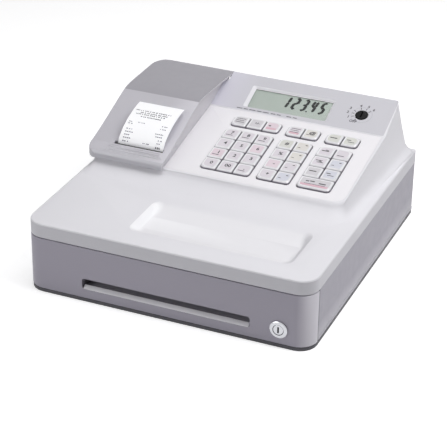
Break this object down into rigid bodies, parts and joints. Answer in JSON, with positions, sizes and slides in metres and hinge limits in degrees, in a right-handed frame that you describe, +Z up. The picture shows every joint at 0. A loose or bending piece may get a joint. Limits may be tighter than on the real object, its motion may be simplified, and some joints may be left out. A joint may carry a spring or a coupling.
{
  "type": "cash register",
  "caption": "Low counter-top till: one-piece upper cabinet with sloped keyboard, display and receipt printer over a locking cash drawer.",
  "frame": {"origin": "centre of the bounding box at floor level, under the feet", "axes": "+X to the right seen from the front, +Y to the back (the drawer opens towards -Y), +Z up"},
  "size_m": [0.33, 0.349, 0.1429],
  "materials": {
    "white_plastic": "fine spark-eroded moulding texture, satin white",
    "panel_white": "smooth satin white moulding",
    "grey_plastic": "fine textured lavender grey moulding",
    "cover_grey": "fine textured lavender grey moulding",
    "black_plastic": "black moulding",
    "dark_base": "dark grey base moulding with feet",
    "key_cap": "clear moulded cap over a pale lilac insert",
    "display_lens": "clear acrylic lens",
    "lcd_glass": "green grey liquid crystal cell",
    "chrome": "polished chrome plate",
    "steel": "zinc plated pressed steel",
    "rubber": "ground black rubber",
    "paper": "smooth thermal paper",
    "tray_plastic": "dark grey moulding",
    "circuit_board": "green solder mask on glass laminate"
  },
  "bodies": {
    "cabinet": {"top_cabinet": "white_plastic", "keyboard_panel": "panel_white", "key_board": "circuit_board", "display_window": "display_lens", "lcd_module": "lcd_glass", "printer_mechanism": "black_plastic", "paper_web": "paper", "case_body": "grey_plastic", "base_pan": "dark_base", "cord_gland": "black_plastic", "control_board": "circuit_board"},
    "cover": {"printer_cover": "cover_grey", "receipt_paper": "paper"},
    "arm": {"platen_arm": "steel"},
    "platen": {"platen_roller": "rubber"},
    "roll": {"paper_roll": "paper"},
    "switch": {"mode_switch": "black_plastic"},
    "drawer": {"drawer_body": "tray_plastic", "drawer_front": "grey_plastic", "lock_barrel": "chrome"},
    "lock": {"lock_rotor": "chrome"},
    "coins": {"coin_tray": "tray_plastic"},
    "lever": {"release_lever": "steel"},
    "clip_1": {"note_clip_1": "black_plastic"},
    "clip_2": {"note_clip_2": "black_plastic"},
    "clip_3": {"note_clip_3": "black_plastic"},
    "key_left_1_1": {"key_left_1_1": "key_cap"},
    "key_left_2_1": {"key_left_2_1": "key_cap"},
    "key_left_3_1": {"key_left_3_1": "key_cap"},
    "key_left_4_1": {"key_left_4_1": "key_cap"},
    "key_left_top_1": {"key_left_top_1": "key_cap"},
    "key_left_1_2": {"key_left_1_2": "key_cap"},
    "key_left_2_2": {"key_left_2_2": "key_cap"},
    "key_left_3_2": {"key_left_3_2": "key_cap"},
    "key_left_4_2": {"key_left_4_2": "key_cap"},
    "key_left_top_2": {"key_left_top_2": "key_cap"},
    "key_left_1_3": {"key_left_1_3": "key_cap"},
    "key_left_2_3": {"key_left_2_3": "key_cap"},
    "key_left_3_3": {"key_left_3_3": "key_cap"},
    "key_left_4_3": {"key_left_4_3": "key_cap"},
    "key_left_top_3": {"key_left_top_3": "key_cap"},
    "key_middle_1_1": {"key_middle_1_1": "key_cap"},
    "key_middle_2_1": {"key_middle_2_1": "key_cap"},
    "key_middle_3_1": {"key_middle_3_1": "key_cap"},
    "key_middle_4_1": {"key_middle_4_1": "key_cap"},
    "key_middle_top_1": {"key_middle_top_1": "key_cap"},
    "key_middle_1_2": {"key_middle_1_2": "key_cap"},
    "key_middle_2_2": {"key_middle_2_2": "key_cap"},
    "key_middle_3_2": {"key_middle_3_2": "key_cap"},
    "key_middle_4_2": {"key_middle_4_2": "key_cap"},
    "key_middle_top_2": {"key_middle_top_2": "key_cap"},
    "key_right_1_1": {"key_right_1_1": "key_cap"},
    "key_right_2_1": {"key_right_2_1": "key_cap"},
    "key_right_3_1": {"key_right_3_1": "key_cap"},
    "key_right_4_1": {"key_right_4_1": "key_cap"},
    "key_right_top_1": {"key_right_top_1": "key_cap"},
    "key_right_2_2": {"key_right_2_2": "key_cap"},
    "key_right_3_2": {"key_right_3_2": "key_cap"},
    "key_right_4_2": {"key_right_4_2": "key_cap"},
    "key_right_top_2": {"key_right_top_2": "key_cap"}
  },
  "joints": [
    {"name": "drawer_slide", "type": "slide", "parent": "cabinet", "child": "drawer", "axis": [0, -1, 0], "range_m": [0, 0.2]},
    {"name": "cover_hinge", "type": "hinge", "parent": "cabinet", "child": "cover", "pos_m": [-0.1138, 0.163, 0.1342], "axis": [-1, 0, 0], "range_deg": [0, 70]},
    {"name": "platen_arm_hinge", "type": "hinge", "parent": "cabinet", "child": "arm", "pos_m": [-0.1064, 0.031, 0.096], "axis": [-1, 0, 0], "range_deg": [0, 8], "stiffness_Nm_per_rad": 0.05, "springref_deg": -17.19},
    {"name": "platen_spin", "type": "hinge", "parent": "arm", "child": "platen", "pos_m": [-0.1064, -0.006, 0.096], "axis": [1, 0, 0], "continuous": true},
    {"name": "roll_spin", "type": "hinge", "parent": "cabinet", "child": "roll", "pos_m": [-0.1064, 0.096, 0.0982], "axis": [1, 0, 0], "continuous": true},
    {"name": "mode_switch_turn", "type": "hinge", "parent": "cabinet", "child": "switch", "pos_m": [0.1077, 0.13493, 0.13088], "axis": [0, -0.3617, 0.9323], "range_deg": [-60, 150]},
    {"name": "lock_turn", "type": "hinge", "parent": "drawer", "child": "lock", "pos_m": [0.1293, -0.165, 0.0218], "axis": [0, 1, 0], "range_deg": [0, 90]},
    {"name": "coin_tray_lift", "type": "slide", "parent": "drawer", "child": "coins", "axis": [0, 0, 1], "range_m": [0, 0.01]},
    {"name": "release_slide", "type": "slide", "parent": "cabinet", "child": "lever", "axis": [1, 0, 0], "range_m": [0, 0.01], "stiffness_N_per_m": 150, "springref_m": -0.004},
    {"name": "note_clip_1_hinge", "type": "hinge", "parent": "drawer", "child": "clip_1", "pos_m": [-0.1023, 0.139, 0.029], "axis": [-1, 0, 0], "range_deg": [0, 50], "stiffness_Nm_per_rad": 0.02, "springref_deg": -34.38},
    {"name": "note_clip_2_hinge", "type": "hinge", "parent": "drawer", "child": "clip_2", "pos_m": [0, 0.139, 0.029], "axis": [-1, 0, 0], "range_deg": [0, 50], "stiffness_Nm_per_rad": 0.02, "springref_deg": -34.38},
    {"name": "note_clip_3_hinge", "type": "hinge", "parent": "drawer", "child": "clip_3", "pos_m": [0.1023, 0.139, 0.029], "axis": [-1, 0, 0], "range_deg": [0, 50], "stiffness_Nm_per_rad": 0.02, "springref_deg": -34.38},
    {"name": "key_left_1_1_press", "type": "slide", "parent": "cabinet", "child": "key_left_1_1", "axis": [0, 0.169, -0.9856], "range_m": [0, 0.002], "stiffness_N_per_m": 250, "springref_m": -0.002},
    {"name": "key_left_2_1_press", "type": "slide", "parent": "cabinet", "child": "key_left_2_1", "axis": [0, 0.169, -0.9856], "range_m": [0, 0.002], "stiffness_N_per_m": 250, "springref_m": -0.002},
    {"name": "key_left_3_1_press", "type": "slide", "parent": "cabinet", "child": "key_left_3_1", "axis": [0, 0.169, -0.9856], "range_m": [0, 0.002], "stiffness_N_per_m": 250, "springref_m": -0.002},
    {"name": "key_left_4_1_press", "type": "slide", "parent": "cabinet", "child": "key_left_4_1", "axis": [0, 0.169, -0.9856], "range_m": [0, 0.002], "stiffness_N_per_m": 250, "springref_m": -0.002},
    {"name": "key_left_top_1_press", "type": "slide", "parent": "cabinet", "child": "key_left_top_1", "axis": [0, 0.169, -0.9856], "range_m": [0, 0.002], "stiffness_N_per_m": 250, "springref_m": -0.002},
    {"name": "key_left_1_2_press", "type": "slide", "parent": "cabinet", "child": "key_left_1_2", "axis": [0, 0.169, -0.9856], "range_m": [0, 0.002], "stiffness_N_per_m": 250, "springref_m": -0.002},
    {"name": "key_left_2_2_press", "type": "slide", "parent": "cabinet", "child": "key_left_2_2", "axis": [0, 0.169, -0.9856], "range_m": [0, 0.002], "stiffness_N_per_m": 250, "springref_m": -0.002},
    {"name": "key_left_3_2_press", "type": "slide", "parent": "cabinet", "child": "key_left_3_2", "axis": [0, 0.169, -0.9856], "range_m": [0, 0.002], "stiffness_N_per_m": 250, "springref_m": -0.002},
    {"name": "key_left_4_2_press", "type": "slide", "parent": "cabinet", "child": "key_left_4_2", "axis": [0, 0.169, -0.9856], "range_m": [0, 0.002], "stiffness_N_per_m": 250, "springref_m": -0.002},
    {"name": "key_left_top_2_press", "type": "slide", "parent": "cabinet", "child": "key_left_top_2", "axis": [0, 0.169, -0.9856], "range_m": [0, 0.002], "stiffness_N_per_m": 250, "springref_m": -0.002},
    {"name": "key_left_1_3_press", "type": "slide", "parent": "cabinet", "child": "key_left_1_3", "axis": [0, 0.169, -0.9856], "range_m": [0, 0.002], "stiffness_N_per_m": 250, "springref_m": -0.002},
    {"name": "key_left_2_3_press", "type": "slide", "parent": "cabinet", "child": "key_left_2_3", "axis": [0, 0.169, -0.9856], "range_m": [0, 0.002], "stiffness_N_per_m": 250, "springref_m": -0.002},
    {"name": "key_left_3_3_press", "type": "slide", "parent": "cabinet", "child": "key_left_3_3", "axis": [0, 0.169, -0.9856], "range_m": [0, 0.002], "stiffness_N_per_m": 250, "springref_m": -0.002},
    {"name": "key_left_4_3_press", "type": "slide", "parent": "cabinet", "child": "key_left_4_3", "axis": [0, 0.169, -0.9856], "range_m": [0, 0.002], "stiffness_N_per_m": 250, "springref_m": -0.002},
    {"name": "key_left_top_3_press", "type": "slide", "parent": "cabinet", "child": "key_left_top_3", "axis": [0, 0.169, -0.9856], "range_m": [0, 0.002], "stiffness_N_per_m": 250, "springref_m": -0.002},
    {"name": "key_middle_1_1_press", "type": "slide", "parent": "cabinet", "child": "key_middle_1_1", "axis": [0, 0.169, -0.9856], "range_m": [0, 0.002], "stiffness_N_per_m": 250, "springref_m": -0.002},
    {"name": "key_middle_2_1_press", "type": "slide", "parent": "cabinet", "child": "key_middle_2_1", "axis": [0, 0.169, -0.9856], "range_m": [0, 0.002], "stiffness_N_per_m": 250, "springref_m": -0.002},
    {"name": "key_middle_3_1_press", "type": "slide", "parent": "cabinet", "child": "key_middle_3_1", "axis": [0, 0.169, -0.9856], "range_m": [0, 0.002], "stiffness_N_per_m": 250, "springref_m": -0.002},
    {"name": "key_middle_4_1_press", "type": "slide", "parent": "cabinet", "child": "key_middle_4_1", "axis": [0, 0.169, -0.9856], "range_m": [0, 0.002], "stiffness_N_per_m": 250, "springref_m": -0.002},
    {"name": "key_middle_top_1_press", "type": "slide", "parent": "cabinet", "child": "key_middle_top_1", "axis": [0, 0.169, -0.9856], "range_m": [0, 0.002], "stiffness_N_per_m": 250, "springref_m": -0.002},
    {"name": "key_middle_1_2_press", "type": "slide", "parent": "cabinet", "child": "key_middle_1_2", "axis": [0, 0.169, -0.9856], "range_m": [0, 0.002], "stiffness_N_per_m": 250, "springref_m": -0.002},
    {"name": "key_middle_2_2_press", "type": "slide", "parent": "cabinet", "child": "key_middle_2_2", "axis": [0, 0.169, -0.9856], "range_m": [0, 0.002], "stiffness_N_per_m": 250, "springref_m": -0.002},
    {"name": "key_middle_3_2_press", "type": "slide", "parent": "cabinet", "child": "key_middle_3_2", "axis": [0, 0.169, -0.9856], "range_m": [0, 0.002], "stiffness_N_per_m": 250, "springref_m": -0.002},
    {"name": "key_middle_4_2_press", "type": "slide", "parent": "cabinet", "child": "key_middle_4_2", "axis": [0, 0.169, -0.9856], "range_m": [0, 0.002], "stiffness_N_per_m": 250, "springref_m": -0.002},
    {"name": "key_middle_top_2_press", "type": "slide", "parent": "cabinet", "child": "key_middle_top_2", "axis": [0, 0.169, -0.9856], "range_m": [0, 0.002], "stiffness_N_per_m": 250, "springref_m": -0.002},
    {"name": "key_right_1_1_press", "type": "slide", "parent": "cabinet", "child": "key_right_1_1", "axis": [0, 0.169, -0.9856], "range_m": [0, 0.002], "stiffness_N_per_m": 250, "springref_m": -0.002},
    {"name": "key_right_2_1_press", "type": "slide", "parent": "cabinet", "child": "key_right_2_1", "axis": [0, 0.169, -0.9856], "range_m": [0, 0.002], "stiffness_N_per_m": 250, "springref_m": -0.002},
    {"name": "key_right_3_1_press", "type": "slide", "parent": "cabinet", "child": "key_right_3_1", "axis": [0, 0.169, -0.9856], "range_m": [0, 0.002], "stiffness_N_per_m": 250, "springref_m": -0.002},
    {"name": "key_right_4_1_press", "type": "slide", "parent": "cabinet", "child": "key_right_4_1", "axis": [0, 0.169, -0.9856], "range_m": [0, 0.002], "stiffness_N_per_m": 250, "springref_m": -0.002},
    {"name": "key_right_top_1_press", "type": "slide", "parent": "cabinet", "child": "key_right_top_1", "axis": [0, 0.169, -0.9856], "range_m": [0, 0.002], "stiffness_N_per_m": 250, "springref_m": -0.002},
    {"name": "key_right_2_2_press", "type": "slide", "parent": "cabinet", "child": "key_right_2_2", "axis": [0, 0.169, -0.9856], "range_m": [0, 0.002], "stiffness_N_per_m": 250, "springref_m": -0.002},
    {"name": "key_right_3_2_press", "type": "slide", "parent": "cabinet", "child": "key_right_3_2", "axis": [0, 0.169, -0.9856], "range_m": [0, 0.002], "stiffness_N_per_m": 250, "springref_m": -0.002},
    {"name": "key_right_4_2_press", "type": "slide", "parent": "cabinet", "child": "key_right_4_2", "axis": [0, 0.169, -0.9856], "range_m": [0, 0.002], "stiffness_N_per_m": 250, "springref_m": -0.002},
    {"name": "key_right_top_2_press", "type": "slide", "parent": "cabinet", "child": "key_right_top_2", "axis": [0, 0.169, -0.9856], "range_m": [0, 0.002], "stiffness_N_per_m": 250, "springref_m": -0.002}
  ],
  "couplings": [
    {"joint": "roll_spin", "follows": "platen_spin", "ratio": 0.22222}
  ]
}
